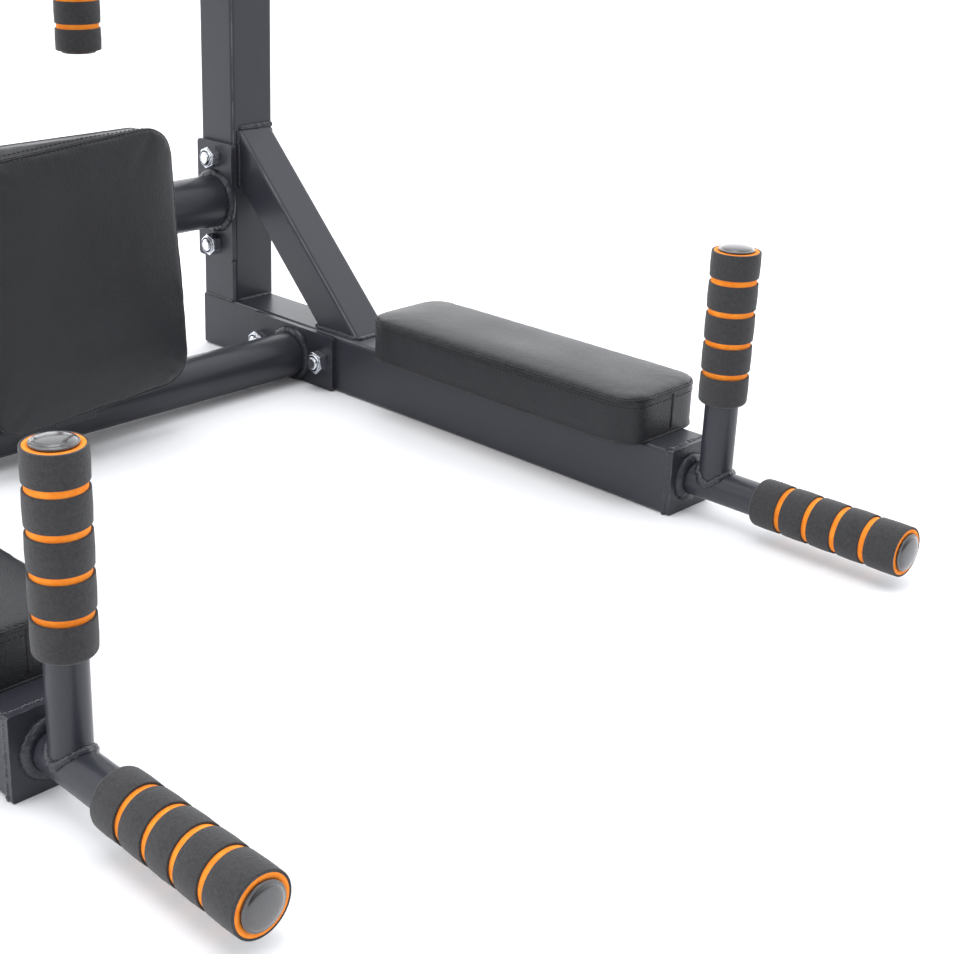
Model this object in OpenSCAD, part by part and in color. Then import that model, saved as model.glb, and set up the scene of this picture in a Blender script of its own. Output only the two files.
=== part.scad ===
// Wall station power tower: dip arms, back rest, hanging handles and pull-up bar.
// Millimetres, +Z up. The arms point towards -Y, and their undersides lie on Z = 0.
// The origin is under the middle of the whole station.

/* [Side frames] */
// Outer width of the square tubes
tube_w = 50; // [40:1:60]
// Outer height of the lower and top arm tubes
arm_h = 54.5; // [50:0.5:60]
// Wall thickness of the square tubes
tube_wall = 2.5; // [2:0.5:4]
// Radius of the tubes' rolled corners
tube_corner = 4; // [3:0.5:6]
// Distance between the middles of the two side frames
frame_spacing = 588; // [560:1:640]
// Height of the whole station
frame_h = 1100; // [1050:5:1250]
// Length of the lower arm from the wall to its closed front end
arm_len = 586; // [560:1:640]
// Length of the top arm from the wall to its plugged front end
top_arm_len = 430; // [400:1:480]
// Thickness of the plate that closes the lower arm
end_plate_t = 5; // [4:1:8]

/* [Braces] */
// Width of the brace tube across the frame
brace_w = 40; // [36:1:42]
// Depth of the brace tube
brace_t = 40; // [35:1:45]
// How far the brace's top corner stands above the lower arm
brace_rise = 173; // [160:1:190]
// How far the brace's inner side is set in from the upright's inner side
brace_inset = 7; // [4:0.5:8]

/* [Dip handles] */
// Diameter of the level handle tube at the arm's end
stub_d = 26; // [25.4:0.2:27]
// Diameter of the upright handle post
post_d = 25; // [24:0.2:25.2]
// Distance from the arm's end to the post's axis
post_reach = 22.5; // [20:0.5:30]
// Height of the post's grip end above the floor
post_top = 213.5; // [200:0.5:230]
// Distance from the arm's end to the level grip's free end
stub_len = 184; // [176:1:200]

/* [Foam grips] */
// Thickness of the black outer foam layer
skin_t = 1.4; // [1.2:0.1:2]
// Thickness of the foam wall in all
foam_wall = 5.5; // [5:0.1:6]
// Width of each groove that shows the coloured layer
groove_w = 4.4; // [4:0.2:5]
// Distance from a post grip's free end to its first groove
post_groove = 21.5; // [20:0.5:25]
// Distance between the grooves of a post grip
post_pitch = 24; // [23:0.5:24.5]
// Distance from a level grip's free end to its first groove
stub_groove = 25.5; // [22:0.5:26]
// Distance between the grooves of a level grip
stub_pitch = 23; // [22:0.5:23.5]
// Number of grooves in a dip grip
grooves = 4; // [3:1:4]
// Foam length on a post
post_foam = 118; // [114:1:124]
// Foam length on a level handle
stub_foam = 119; // [115:1:123]
// Foam length at each end of the pull-up bar
bar_foam = 190; // [170:1:200]

/* [Cross tubes] */
// Diameter of the upper and middle cross tubes
cross_d = 51; // [48:0.5:52]
// Diameter of the lower cross tube
low_cross_d = 43; // [42:0.5:48]
// Height of the upper cross tube's axis
upper_z = 154.5; // [150:0.5:165]
// Height of the middle cross tube's axis
middle_z = 485; // [480:1:560]
// Distance from the wall to the lower cross tube's axis
low_cross_y = 142; // [140:0.5:150]
// Height of the lower cross tube's axis
low_cross_z = 24.5; // [24:0.5:27]
// Long side of the bolted flange plates
flange_l = 117; // [110:1:120]
// Short side of the bolted flange plates
flange_w = 53; // [50:0.5:54]
// Thickness of the flange plates
flange_t = 5; // [4:0.5:6]
// Distance between a flange's two bolts
bolt_gap = 87; // [84:1:90]
// Thread diameter of the flange bolts
bolt_d = 12; // [10:1:12]

/* [Back rest] */
// Width of the back cushion
back_w = 190; // [180:1:220]
// Height of the back cushion
back_h = 222; // [210:1:240]
// Thickness of the back cushion with its board
back_t = 32; // [30:1:40]
// Height of the back cushion's middle
back_z = 157; // [150:1:165]
// Distance from the wall to the back cushion's front, at its middle
back_y = 198; // [196:1:205]
// How far the back rest leans
back_lean = 3.8; // [2:0.2:6]

/* [Arm rests] */
// Width of the arm cushion
rest_w = 90; // [80:1:100]
// Length of the arm cushion
rest_l = 296; // [280:1:310]
// Thickness of the arm cushion with its board
rest_t = 41; // [36:1:46]
// Distance from the wall to the arm cushion's back end
rest_y = 263; // [260:1:275]
// Thickness of the boards inside the cushions
board_t = 10; // [8:1:12]

/* [Upper handles] */
// Diameter of the hanging handles and the pull-up bar
bar_d = 30; // [28:1:32]
// Distance from the middle of the station to a hanging handle
hang_x = 113; // [105:1:130]
// Height of a hanging handle's lower end
hang_bottom = 314; // [300:1:330]
// Length of the pull-up bar
bar_len = 1130; // [1100:5:1200]
// Distance from the wall to the pull-up bar
bar_y = 390; // [370:1:400]
// Diameter of the holes for the wall anchors
anchor_d = 13; // [11:0.5:15]
// Height of the lower wall anchors
anchor_low = 400; // [380:1:420]
// Height of the upper wall anchors
anchor_high = 1010; // [980:1:1020]

/* [Hidden] */
fine = 64;
side_x = frame_spacing / 2;
inner_x = side_x - tube_w / 2;
cap_flange_t = 1.6;
cap_dome = 2.8;
cap_lip = 0.8;
plug_l = 14;
plug_gap = 0.2;
pipe_wall = 2;
depth = arm_len + stub_len + cap_flange_t + cap_dome;
wall_y = depth / 2;
upright_top = frame_h - arm_h;
stub_z = arm_h / 2;
post_y = arm_len + post_reach;
brace_x = inner_x + brace_inset;
top_brace_size = 30;
top_brace_drop = 210;
cross_y = flange_w / 2;
bolt_hole_d = bolt_d + 1;
nut_af = 19;
nut_h = 10;
nut_collar = 3;
head_h = 7.5;
washer_t = 2.5;
washer_d = 24;
bolt_tail = 2;
back_front = -back_y;
strap_w = 60;
strap_t = 5;
strap_l = 190;
standoff = 40;
low_spacer_w = 40;
screw_d = 8;
screw_gap = 150;
screw_head_d = 14;
screw_head_h = 5;
access_d = 18;
rest_screw_gap = 180;
bar_z = frame_h - arm_h / 2;
hang_y = cross_y;
hang_foam = post_foam;
hang_cap_t = 2.5;
plug_t = 3;
plug_stub = 15;
back_r = 28;
rest_r = 22;
core_bury = 4;
big = 2000;
// A cutter's overlap past a face, and the length of one that passes right through a square tube
over = 1;
through = tube_w + 10;
bar_grooves = 7;
collar_d = nut_af - 2;
screw_play = 0.5;
plate_corner = 2;
plug_corner = 1;

steel = [0.3, 0.3, 0.33];
zinc = [0.75, 0.78, 0.82];
foam = [0.2, 0.2, 0.21];
bright_foam = [0.98, 0.6, 0.15];
plastic = [0.08, 0.08, 0.09];
cover = [0.16, 0.17, 0.18];
wood = [0.6, 0.45, 0.3];

// ---------- shared shapes ----------

// Moves a shape from the wall's frame, where Y = 0 is the wall, to the station's frame.
module from_wall() {
    translate([0, wall_y, 0]) children();
}

// Draws a shape on the +X side frame, or its mirror image on the other side.
module on_side(side) {
    from_wall() mirror([side < 0 ? 1 : 0, 0, 0]) children();
}

module on_both_sides() {
    for (side = [-1, 1]) on_side(side) children();
}

// A flat rectangle with round corners, centred, built from exact arcs.
module round_rect(w, h, r) {
    union() {
        square([w - 2 * r, h], center = true);
        square([w, h - 2 * r], center = true);
        for (x = [-1, 1], y = [-1, 1])
            translate([x * (w / 2 - r), y * (h / 2 - r)]) circle(r = r, $fn = fine);
    }
}

// The section of a rolled rectangular tube.
module tube_section(w, h) {
    difference() {
        round_rect(w, h, tube_corner);
        round_rect(w - 2 * tube_wall, h - 2 * tube_wall, tube_corner - tube_wall);
    }
}

// A cylinder along X, centred on the origin.
module x_cylinder(d, l) {
    rotate([0, 90, 0]) cylinder(d = d, h = l, center = true, $fn = fine);
}

// A round pipe along +Z from the origin.
module pipe(d, l) {
    difference() {
        cylinder(d = d, h = l, $fn = fine);
        translate([0, 0, -over]) cylinder(d = d - 2 * pipe_wall, h = l + 2 * over, $fn = fine);
    }
}

// Places that a grip needs: the free end is at Z = 0 and the sleeve runs towards -Z.
module at_post() {
    translate([side_x, -post_y, post_top]) children();
}

module at_stub() {
    translate([side_x, -arm_len - stub_len, stub_z]) rotate([90, 0, 0]) children();
}

module at_hanging() {
    translate([hang_x, -hang_y, hang_bottom]) mirror([0, 0, 1]) children();
}

module at_bar_end() {
    translate([bar_len / 2, -bar_y, bar_z]) rotate([0, 90, 0]) children();
}

// Coloured foam layer round a tube, open at the free end.
module foam_core(tube_d, len) {
    r = tube_d / 2;
    r_out = r + foam_wall - skin_t;
    low = core_bury - len;
    rotate_extrude($fn = fine) polygon([[r, 0], [r_out, 0], [r_out, low], [r, low]]);
}

// Black foam layer: rings between the grooves, and a closed, chamfered end on the tube's side.
// Groove number i lies at first + i * pitch from the free end.
module foam_skin(tube_d, len, count, first, pitch) {
    r = tube_d / 2;
    r_in = r + foam_wall - skin_t;
    r_out = r + foam_wall;
    chamfer = 3;
    edge = 0.6;
    for (i = [0 : count - 1]) {
        top = i == 0 ? 0 : -first - (i - 1) * pitch - groove_w / 2;
        low = -first - i * pitch + groove_w / 2;
        rotate_extrude($fn = fine)
            polygon([[r_in, top], [r_out - edge, top], [r_out, top - edge],
                [r_out, low + edge], [r_out - edge, low], [r_in, low]]);
    }
    last = -first - (count - 1) * pitch - groove_w / 2;
    rotate_extrude($fn = fine)
        polygon([[r_in, last], [r_out - edge, last], [r_out, last - edge], [r_out, chamfer - len],
            [r_out - chamfer, -len], [r, -len], [r, core_bury - len], [r_in, core_bury - len]]);
}

module post_skin() {
    at_post() foam_skin(post_d, post_foam, grooves, post_groove, post_pitch);
}

module stub_skin() {
    at_stub() foam_skin(stub_d, stub_foam, grooves, stub_groove, stub_pitch);
}

module hanging_skin() {
    at_hanging() foam_skin(bar_d, hang_foam, grooves, post_groove, post_pitch);
}

module bar_skin() {
    at_bar_end() foam_skin(bar_d, bar_foam, bar_grooves, post_groove, post_pitch);
}

// Domed plastic cap with a thin flange and a plug that sits in the tube.
module dome_cap(tube_d) {
    r = tube_d / 2 + cap_lip;
    plug_r = tube_d / 2 - pipe_wall - plug_gap;
    steps = 8;
    dome = [for (i = [0 : steps])
        [r * cos(90 * i / steps), cap_flange_t + cap_dome * sin(90 * i / steps)]];
    rotate_extrude($fn = fine)
        polygon(concat([[0, -plug_l], [plug_r, -plug_l], [plug_r, 0], [r, 0]], dome));
}

// ---------- side frames ----------

module upright() {
    difference() {
        translate([side_x, -tube_w / 2, arm_h])
            linear_extrude(upright_top - arm_h) tube_section(tube_w, tube_w);
        for (z = [upper_z, middle_z], up = [-1, 1])
            translate([side_x, -cross_y, z + up * bolt_gap / 2]) x_cylinder(bolt_hole_d, through);
        for (z = [anchor_low, anchor_high])
            translate([side_x, -tube_w / 2, z])
                rotate([90, 0, 0]) cylinder(d = anchor_d, h = through, center = true, $fn = fine);
    }
}

module arm() {
    difference() {
        translate([side_x, 0, arm_h / 2])
            rotate([90, 0, 0]) linear_extrude(arm_len - end_plate_t) tube_section(tube_w, arm_h);
        for (along = [-1, 1])
            translate([side_x, -low_cross_y + along * bolt_gap / 2, arm_h / 2])
                x_cylinder(bolt_hole_d, through);
        for (along = [-1, 1])
            translate([side_x, -rest_y - rest_l / 2 + along * rest_screw_gap / 2, 0]) {
                translate([0, 0, -over]) cylinder(d = access_d, h = arm_h / 2, $fn = fine);
                cylinder(d = screw_d + screw_play, h = arm_h + over, $fn = fine);
            }
    }
}

module arm_end_plate() {
    translate([side_x, end_plate_t - arm_len, arm_h / 2])
        rotate([90, 0, 0]) linear_extrude(end_plate_t) round_rect(tube_w, arm_h, plate_corner);
}

// Diagonal tube between the upright's front and the arm's top, cut to lie flat on both.
module brace() {
    reach = brace_rise + brace_t;
    intersection() {
        translate([brace_x + brace_w / 2, -tube_w - brace_rise / 2, arm_h + brace_rise / 2])
            rotate([-45, 0, 0])
                translate([0, brace_t / 2, -reach])
                    linear_extrude(2 * reach) tube_section(brace_w, brace_t);
        translate([brace_x, -tube_w - big, arm_h]) cube([brace_w, big, big]);
    }
}

module top_arm() {
    difference() {
        translate([side_x, 0, frame_h - arm_h / 2])
            rotate([90, 0, 0]) linear_extrude(top_arm_len) tube_section(tube_w, arm_h);
        translate([side_x, -bar_y, bar_z]) x_cylinder(bar_d, through);
    }
}

// Brace under the top arm, a mirror image of the lower one in a smaller tube.
module top_brace() {
    reach = 2 * top_brace_drop;
    intersection() {
        translate([side_x, -tube_w - top_brace_drop / 2, upright_top - top_brace_drop / 2])
            rotate([45, 0, 0])
                translate([0, top_brace_size / 2, -reach / 2])
                    linear_extrude(reach) tube_section(top_brace_size, top_brace_size);
        translate([0, -tube_w - big, upright_top - big]) cube([big, big, big]);
    }
}

// ---------- dip handles ----------

module level_handle() {
    translate([side_x, -arm_len, stub_z]) rotate([90, 0, 0]) pipe(stub_d, stub_len);
}

// The post's foot is shaped to sit on the round level handle.
module handle_post() {
    difference() {
        translate([side_x, -post_y, stub_z]) pipe(post_d, post_top - stub_z);
        translate([side_x, -post_y, stub_z])
            rotate([90, 0, 0]) cylinder(d = stub_d, h = 3 * post_d, center = true, $fn = fine);
    }
}

module grip_cores() {
    color(bright_foam) on_both_sides() {
        at_post() foam_core(post_d, post_foam);
        at_stub() foam_core(stub_d, stub_foam);
    }
}

module handle_caps() {
    color(plastic) on_both_sides() {
        at_post() dome_cap(post_d);
        at_stub() dome_cap(stub_d);
    }
}

// ---------- cross tubes ----------

module cross_tube(d, y, z) {
    color(steel) from_wall()
        difference() {
            translate([0, -y, z]) x_cylinder(d, 2 * (inner_x - flange_t));
            translate([0, -y, z]) x_cylinder(d - 2 * tube_wall, 2 * inner_x);
        }
}

// Two welded end plates, one against each side frame.
module flanges(y, z, upright_plate) {
    plate_h = upright_plate ? flange_l : flange_w;
    plate_w = upright_plate ? flange_w : flange_l;
    color(steel) on_both_sides()
        difference() {
            translate([inner_x - flange_t, -y, z])
                rotate([90, 0, 90]) linear_extrude(flange_t) round_rect(plate_w, plate_h, tube_corner);
            for (way = [-1, 1])
                translate([inner_x, -y, z] + way * bolt_gap / 2 * (upright_plate ? [0, 0, 1] : [0, 1, 0]))
                    x_cylinder(bolt_hole_d, 4 * flange_t);
        }
}

// Every flange bolt's place, on the +X side, on the bolt's axis at the frame's inner face.
module at_flange_bolts() {
    for (z = [upper_z, middle_z], up = [-1, 1])
        translate([inner_x, -cross_y, z + up * bolt_gap / 2]) children();
    for (along = [-1, 1])
        translate([inner_x, -low_cross_y + along * bolt_gap / 2, arm_h / 2]) children();
}

module hexagon(across_flats, h) {
    cylinder(d = across_flats / cos(30), h = h, $fn = 6);
}

module flange_bolts() {
    shank = flange_t + nut_h + nut_collar + bolt_tail;
    color(zinc) on_both_sides() at_flange_bolts() {
        translate([-shank, 0, 0]) rotate([0, 90, 0])
            cylinder(d = bolt_d, h = shank + tube_w + washer_t, $fn = fine);
        translate([tube_w + washer_t, 0, 0]) rotate([0, 90, 0]) hexagon(nut_af, head_h);
    }
}

module flange_washers() {
    color(zinc) on_both_sides() at_flange_bolts()
        translate([tube_w, 0, 0]) rotate([0, 90, 0])
            difference() {
                cylinder(d = washer_d, h = washer_t, $fn = fine);
                translate([0, 0, -over]) cylinder(d = bolt_d, h = washer_t + 2 * over, $fn = fine);
            }
}

// Locking nuts: a hexagon with a round collar that holds the nylon ring.
module flange_nuts() {
    color(zinc) on_both_sides() at_flange_bolts()
        translate([-flange_t, 0, 0]) rotate([0, -90, 0])
            difference() {
                union() {
                    hexagon(nut_af, nut_h);
                    cylinder(d = collar_d, h = nut_h + nut_collar, $fn = fine);
                }
                translate([0, 0, -over])
                    cylinder(d = bolt_d, h = nut_h + nut_collar + 2 * over, $fn = fine);
            }
}

// ---------- back rest ----------

// The back rest's own frame: X across, Z up along the cushion, Y = 0 on its front, +Y towards the wall.
module at_back_rest() {
    from_wall() translate([0, back_front, back_z]) rotate([-back_lean, 0, 0]) children();
}

module back_cushion() {
    color(cover) at_back_rest()
        translate([0, back_t - board_t, 0])
            rotate([90, 0, 0]) linear_extrude(back_t - board_t) round_rect(back_w, back_h, back_r);
}

module back_board() {
    color(wood) at_back_rest()
        difference() {
            translate([0, back_t, 0])
                rotate([90, 0, 0]) linear_extrude(board_t) round_rect(back_w, back_h, back_r);
            at_back_screws() cylinder(d = screw_d, h = board_t + 2 * over, $fn = fine);
        }
}

// Screw axes, from the board's inner side towards the wall.
module at_back_screws() {
    for (up = [-1, 1])
        translate([0, back_t - board_t - over, up * screw_gap / 2]) rotate([-90, 0, 0]) children();
}

// Flat steel strap behind the board.
module back_strap() {
    color(steel) at_back_rest()
        difference() {
            translate([0, back_t + strap_t, 0])
                rotate([90, 0, 0]) linear_extrude(strap_t) round_rect(strap_w, strap_l, tube_corner);
            at_back_screws() cylinder(d = screw_d + screw_play, h = back_t, $fn = fine);
        }
}

module back_screws() {
    color(zinc) at_back_rest() at_back_screws() {
        translate([0, 0, over]) cylinder(d = screw_d, h = board_t + strap_t, $fn = fine);
        translate([0, 0, over + board_t + strap_t])
            cylinder(d = screw_head_d, h = screw_head_h, $fn = fine);
    }
}

// Everything in front of the plane of the strap's back.
module front_of_strap() {
    at_back_rest() translate([-big / 2, back_t + strap_t - big, -big / 2]) cube([big, big, big]);
}

// Two square stand-off tubes from the upper cross tube to the strap.
module back_standoffs() {
    color(steel)
        difference() {
            from_wall() for (side = [-1, 1])
                translate([side * (strap_w - standoff / 2) / 2, -cross_y, upper_z])
                    rotate([90, 0, 0])
                        linear_extrude(back_y) round_rect(standoff / 2, standoff, plate_corner);
            from_wall() translate([0, -cross_y, upper_z]) x_cylinder(cross_d, frame_spacing);
            front_of_strap();
        }
}

// Short block from the lower cross tube to the strap's foot.
module back_spacer() {
    h = 20 + low_cross_d / 2;
    lift = 1;
    color(steel)
        difference() {
            from_wall()
                translate([0, -low_cross_y - low_cross_d / 4, low_cross_z + low_cross_d / 2 + lift])
                    rotate([90, 0, 0]) linear_extrude(back_y) round_rect(low_spacer_w, h, plate_corner);
            from_wall() translate([0, -low_cross_y, low_cross_z]) x_cylinder(low_cross_d, frame_spacing);
            front_of_strap();
        }
}

// ---------- arm rests ----------

module at_arm_rest() {
    translate([side_x, -rest_y - rest_l / 2, arm_h]) children();
}

module at_arm_screws() {
    for (along = [-1, 1]) translate([0, along * rest_screw_gap / 2, 0]) children();
}

module arm_cushion() {
    at_arm_rest()
        translate([0, 0, board_t]) linear_extrude(rest_t - board_t) round_rect(rest_w, rest_l, rest_r);
}

module arm_board() {
    at_arm_rest()
        difference() {
            linear_extrude(board_t) round_rect(rest_w, rest_l, rest_r);
            at_arm_screws()
                translate([0, 0, -over]) cylinder(d = screw_d, h = board_t + 2 * over, $fn = fine);
        }
}

// Screws through the arm's top wall, with their heads inside the arm.
module arm_screws() {
    color(zinc) on_both_sides() at_arm_rest() at_arm_screws() {
        translate([0, 0, -tube_wall]) cylinder(d = screw_d, h = tube_wall + board_t, $fn = fine);
        translate([0, 0, -tube_wall - screw_head_h])
            cylinder(d = screw_head_d, h = screw_head_h, $fn = fine);
    }
}

// ---------- hanging handles and pull-up bar ----------

module hanging_handle() {
    difference() {
        translate([hang_x, -hang_y, hang_bottom]) pipe(bar_d, middle_z - hang_bottom);
        translate([hang_x, -hang_y, middle_z]) x_cylinder(cross_d, 4 * bar_d);
    }
}

module hanging_cores() {
    color(bright_foam) on_both_sides() at_hanging() foam_core(bar_d, hang_foam);
}

// Flat plastic plug in a tube's open end.
module flat_cap() {
    cylinder(d = bar_d + 2 * cap_lip, h = hang_cap_t, $fn = fine);
    translate([0, 0, -plug_l]) cylinder(d = bar_d - 2 * pipe_wall - 2 * plug_gap, h = plug_l, $fn = fine);
}

module hanging_caps() {
    color(plastic) on_both_sides() at_hanging() flat_cap();
}

module pullup_bar() {
    color(steel) from_wall()
        difference() {
            translate([0, -bar_y, bar_z]) x_cylinder(bar_d, bar_len);
            translate([0, -bar_y, bar_z]) x_cylinder(bar_d - 2 * pipe_wall, bar_len + 2 * over);
        }
}

module bar_cores() {
    color(bright_foam) on_both_sides() at_bar_end() foam_core(bar_d, bar_foam);
}

module bar_caps() {
    color(plastic) on_both_sides() at_bar_end() dome_cap(bar_d);
}

// Plastic plugs: the top arms' front ends and both arms' wall ends stay closed.
module tube_plugs() {
    inside_w = tube_w - 2 * tube_wall - 2 * plug_gap;
    inside_h = arm_h - 2 * tube_wall - 2 * plug_gap;
    color(plastic) on_both_sides() {
        translate([side_x, -top_arm_len, frame_h - arm_h / 2]) rotate([90, 0, 0]) {
            linear_extrude(plug_t) round_rect(tube_w, arm_h, tube_corner);
            translate([0, 0, -plug_stub])
                linear_extrude(plug_stub) round_rect(inside_w, inside_h, plug_corner);
        }
        for (z = [arm_h / 2, frame_h - arm_h / 2])
            translate([side_x, 0, z])
                rotate([90, 0, 0]) linear_extrude(plug_stub) round_rect(inside_w, inside_h, plug_corner);
    }
}

// ---------- one module for each node ----------

module steel_side(side) {
    color(steel) on_side(side) children();
}

module foam_side(side) {
    color(foam) on_side(side) children();
}

module upright_left() { steel_side(-1) upright(); }
module upright_right() { steel_side(1) upright(); }
module arm_left() { steel_side(-1) arm(); }
module arm_right() { steel_side(1) arm(); }
module arm_end_plate_left() { steel_side(-1) arm_end_plate(); }
module arm_end_plate_right() { steel_side(1) arm_end_plate(); }
module brace_left() { steel_side(-1) brace(); }
module brace_right() { steel_side(1) brace(); }
module level_handle_left() { steel_side(-1) level_handle(); }
module level_handle_right() { steel_side(1) level_handle(); }
module handle_post_left() { steel_side(-1) handle_post(); }
module handle_post_right() { steel_side(1) handle_post(); }
module post_grip_left() { foam_side(-1) post_skin(); }
module post_grip_right() { foam_side(1) post_skin(); }
module level_grip_left() { foam_side(-1) stub_skin(); }
module level_grip_right() { foam_side(1) stub_skin(); }
module upper_cross_tube() { cross_tube(cross_d, cross_y, upper_z); }
module lower_cross_tube() { cross_tube(low_cross_d, low_cross_y, low_cross_z); }
module middle_cross_tube() { cross_tube(cross_d, cross_y, middle_z); }
module upper_flanges() { flanges(cross_y, upper_z, true); }
module lower_flanges() { flanges(low_cross_y, arm_h / 2, false); }
module middle_flanges() { flanges(cross_y, middle_z, true); }
module arm_cushion_left() { color(cover) on_side(-1) arm_cushion(); }
module arm_cushion_right() { color(cover) on_side(1) arm_cushion(); }
module arm_board_left() { color(wood) on_side(-1) arm_board(); }
module arm_board_right() { color(wood) on_side(1) arm_board(); }
module hanging_handle_left() { steel_side(-1) hanging_handle(); }
module hanging_handle_right() { steel_side(1) hanging_handle(); }
module hanging_grip_left() { foam_side(-1) hanging_skin(); }
module hanging_grip_right() { foam_side(1) hanging_skin(); }
module top_arm_left() { steel_side(-1) top_arm(); }
module top_arm_right() { steel_side(1) top_arm(); }
module top_brace_left() { steel_side(-1) top_brace(); }
module top_brace_right() { steel_side(1) top_brace(); }
module bar_grip_left() { foam_side(-1) bar_skin(); }
module bar_grip_right() { foam_side(1) bar_skin(); }

upright_left();
upright_right();
arm_left();
arm_right();
arm_end_plate_left();
arm_end_plate_right();
brace_left();
brace_right();
level_handle_left();
level_handle_right();
handle_post_left();
handle_post_right();
post_grip_left();
post_grip_right();
level_grip_left();
level_grip_right();
grip_cores();
handle_caps();
upper_cross_tube();
lower_cross_tube();
middle_cross_tube();
upper_flanges();
lower_flanges();
middle_flanges();
flange_bolts();
flange_washers();
flange_nuts();
back_cushion();
back_board();
back_strap();
back_standoffs();
back_spacer();
back_screws();
arm_cushion_left();
arm_cushion_right();
arm_board_left();
arm_board_right();
arm_screws();
hanging_handle_left();
hanging_handle_right();
hanging_grip_left();
hanging_grip_right();
hanging_cores();
hanging_caps();
top_arm_left();
top_arm_right();
top_brace_left();
top_brace_right();
pullup_bar();
bar_grip_left();
bar_grip_right();
bar_cores();
bar_caps();
tube_plugs();
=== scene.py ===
import math
import random
import bmesh
import bpy
from mathutils import Matrix, Vector, noise
from mathutils.bvhtree import BVHTree


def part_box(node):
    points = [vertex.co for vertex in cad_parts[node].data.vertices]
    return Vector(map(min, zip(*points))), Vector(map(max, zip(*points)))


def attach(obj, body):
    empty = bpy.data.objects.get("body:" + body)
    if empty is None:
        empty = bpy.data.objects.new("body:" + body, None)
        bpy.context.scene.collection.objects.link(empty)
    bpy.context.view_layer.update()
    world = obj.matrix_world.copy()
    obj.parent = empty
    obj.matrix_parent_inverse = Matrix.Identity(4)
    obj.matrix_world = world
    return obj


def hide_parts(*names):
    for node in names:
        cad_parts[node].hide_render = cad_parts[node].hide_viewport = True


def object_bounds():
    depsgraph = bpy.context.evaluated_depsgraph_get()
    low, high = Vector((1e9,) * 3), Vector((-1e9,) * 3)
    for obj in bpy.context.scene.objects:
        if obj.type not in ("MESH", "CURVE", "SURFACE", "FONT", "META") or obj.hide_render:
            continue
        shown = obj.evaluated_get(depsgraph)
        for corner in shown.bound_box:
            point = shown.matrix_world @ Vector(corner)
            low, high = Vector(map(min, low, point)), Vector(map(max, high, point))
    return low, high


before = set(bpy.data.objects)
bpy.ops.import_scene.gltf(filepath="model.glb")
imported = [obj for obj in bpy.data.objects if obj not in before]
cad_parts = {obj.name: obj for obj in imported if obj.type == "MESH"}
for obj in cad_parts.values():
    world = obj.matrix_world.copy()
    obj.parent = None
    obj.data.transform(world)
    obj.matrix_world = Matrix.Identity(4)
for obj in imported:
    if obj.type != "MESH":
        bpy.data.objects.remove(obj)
cad_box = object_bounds()


# ---------- Camera ----------
# It stands in front of the station's left arm, a little above the arm rests, and looks down
# across both arms towards the right-hand upright.
wall_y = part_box("upright_right")[1].y
view_back = Matrix.Rotation(math.radians(-42.07), 4, "Z") @ Matrix.Rotation(math.radians(69.91), 4, "X")
view_roll = Matrix.Rotation(math.radians(0.4), 4, "Z")
camera = bpy.data.objects.new("camera", bpy.data.cameras.new("camera"))
camera.matrix_world = Matrix.Translation((-0.6919, wall_y - 1.2547, 0.5081)) @ view_back @ view_roll
camera.data.sensor_width = 36
camera.data.lens = 60.3
camera.data.shift_x = 0.156
camera.data.shift_y = -0.076
bpy.context.scene.collection.objects.link(camera)
bpy.context.scene.camera = camera


# ---------- Studio ----------
# A white floor and plain soft light: a white room, one big soft lamp above on the left and a
# weaker one in front.
floor_mesh = bpy.data.meshes.new("floor")
floor_bm = bmesh.new()
bmesh.ops.create_grid(floor_bm, x_segments=1, y_segments=1, size=12)
floor_bm.to_mesh(floor_mesh)
floor_bm.free()
floor = bpy.data.objects.new("floor", floor_mesh)
bpy.context.scene.collection.objects.link(floor)
floor_finish = bpy.data.materials.new("studio_floor")
floor_finish.use_nodes = True
floor_shader = floor_finish.node_tree.nodes["Principled BSDF"]
floor_shader.inputs["Base Color"].default_value = (0.93, 0.935, 0.95, 1)
floor_shader.inputs["Roughness"].default_value = 0.6
floor_shader.inputs["Specular IOR Level"].default_value = 0.2
floor_mesh.materials.append(floor_finish)

world = bpy.data.worlds.new("white_room")
bpy.context.scene.world = world
world.use_nodes = True
room = world.node_tree.nodes["Background"]
room.inputs["Color"].default_value = (0.97, 0.98, 1, 1)
room_way = world.node_tree.nodes.new("ShaderNodeTexCoord")
room_side = world.node_tree.nodes.new("ShaderNodeVectorMath")
room_side.operation = "DOT_PRODUCT"
room_side.inputs[1].default_value = (0.62, 0.68, 0.39)
room_light = world.node_tree.nodes.new("ShaderNodeMapRange")
room_light.interpolation_type = "SMOOTHSTEP"
room_light.inputs["From Min"].default_value = -0.75
room_light.inputs["From Max"].default_value = 0.85
room_light.inputs["To Min"].default_value = 0.16
room_light.inputs["To Max"].default_value = 2.2
world.node_tree.links.new(room_way.outputs["Generated"], room_side.inputs[0])
world.node_tree.links.new(room_side.outputs["Value"], room_light.inputs["Value"])
room_rays = world.node_tree.nodes.new("ShaderNodeLightPath")
room_seen = world.node_tree.nodes.new("ShaderNodeMix")
room_seen.inputs["B"].default_value = 0.95
world.node_tree.links.new(room_rays.outputs["Is Camera Ray"], room_seen.inputs["Factor"])
world.node_tree.links.new(room_light.outputs["Result"], room_seen.inputs["A"])
world.node_tree.links.new(room_seen.outputs["Result"], room.inputs["Strength"])
bpy.context.scene.view_settings.view_transform = "Standard"


def soft_lamp(name, place, aim, width, watts):
    lamp = bpy.data.objects.new(name, bpy.data.lights.new(name, "AREA"))
    lamp.data.shape = "RECTANGLE"
    lamp.data.size = lamp.data.size_y = width
    lamp.data.energy = watts
    lamp.location = place
    lamp.rotation_euler = (Vector(aim) - Vector(place)).to_track_quat("-Z", "Y").to_euler()
    bpy.context.scene.collection.objects.link(lamp)


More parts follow.
